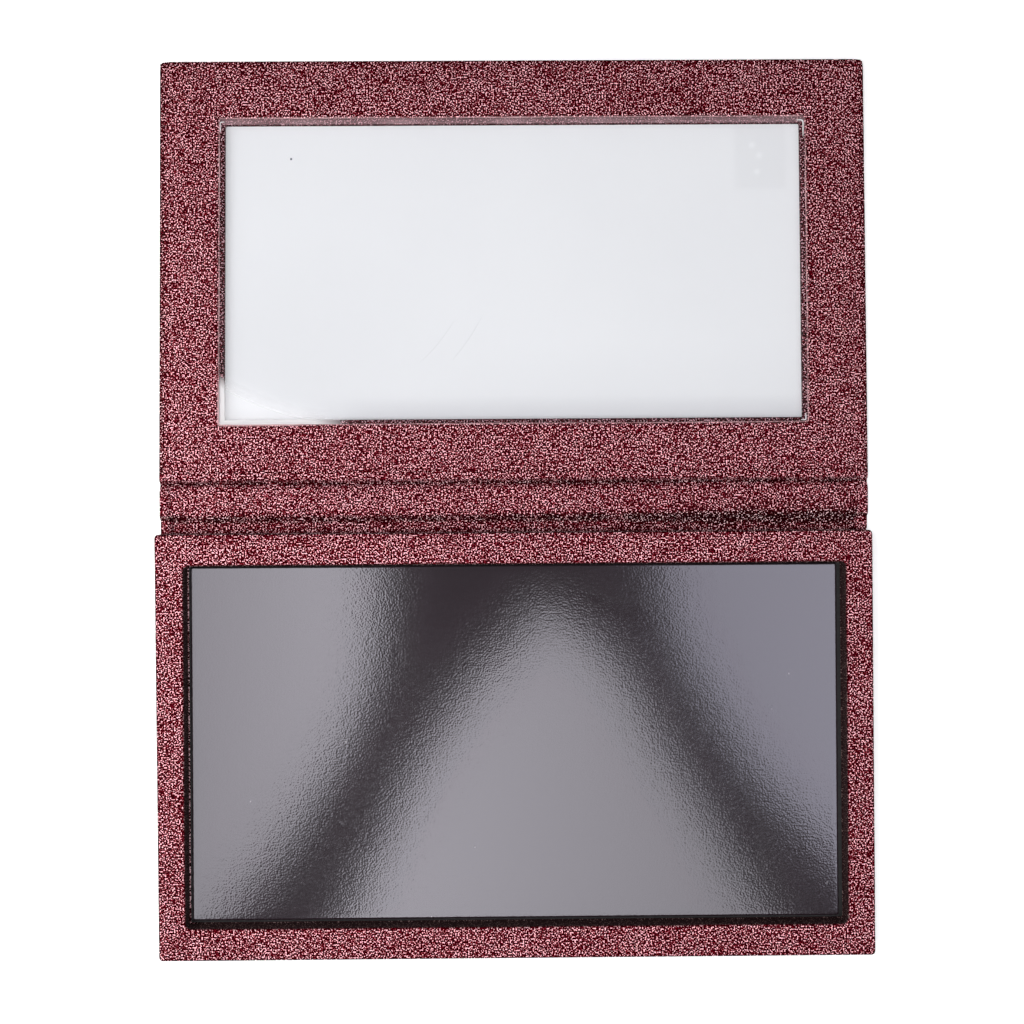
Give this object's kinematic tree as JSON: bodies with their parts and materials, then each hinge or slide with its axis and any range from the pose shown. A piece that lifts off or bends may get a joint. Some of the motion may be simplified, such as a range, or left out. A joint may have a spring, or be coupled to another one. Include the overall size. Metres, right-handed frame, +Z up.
{
  "type": "magnetic makeup palette",
  "caption": "Book-style paper-covered palette that opens flat: a shallow tray with a magnetic sheet for metal pans, and a cover with a clear window that folds over it.",
  "frame": {"origin": "middle of the open case's footprint, on the table", "axes": "+X along the spine, +Y from the tray to the cover, +Z up out of the tray"},
  "size_m": [0.201, 0.2524, 0.0078],
  "materials": {
    "glitter_paper": "rose glitter paper, sparkling, rough to the touch",
    "greyboard": "plain grey board",
    "black_paper": "matte black paper",
    "adhesive": "thin adhesive backing",
    "magnetic_rubber": "flexible magnetic rubber",
    "black_film": "glossy black film with a faint orange peel",
    "clear_film": "clear glossy film",
    "magnet": "nickel-plated magnet"
  },
  "bodies": {
    "base": {"base_board": "greyboard", "base_wrap": "glitter_paper", "tray_wall_front": "greyboard", "tray_wall_back": "greyboard", "tray_wall_left": "greyboard", "tray_wall_right": "greyboard", "tray_wrap": "glitter_paper", "tray_floor_paper": "black_paper", "sheet_adhesive": "adhesive", "magnetic_sheet": "magnetic_rubber", "sheet_film": "black_film", "tray_magnet_left": "magnet", "tray_magnet_right": "magnet", "base_hinge_liner": "glitter_paper"},
    "spine": {"spine_board": "greyboard", "spine_wrap": "glitter_paper", "spine_liner": "glitter_paper"},
    "cover": {"cover_board": "greyboard", "cover_wrap": "glitter_paper", "window_film": "clear_film", "cover_liner": "glitter_paper", "cover_magnet_left": "magnet", "cover_magnet_right": "magnet"}
  },
  "joints": [
    {"name": "spine_fold", "type": "hinge", "parent": "base", "child": "spine", "pos_m": [0, -0.0051, 0.00015], "axis": [1, 0, 0], "range_deg": [0, 90]},
    {"name": "cover_fold", "type": "hinge", "parent": "spine", "child": "cover", "pos_m": [0, 0.0057, 0.00015], "axis": [1, 0, 0], "range_deg": [0, 90]}
  ]
}
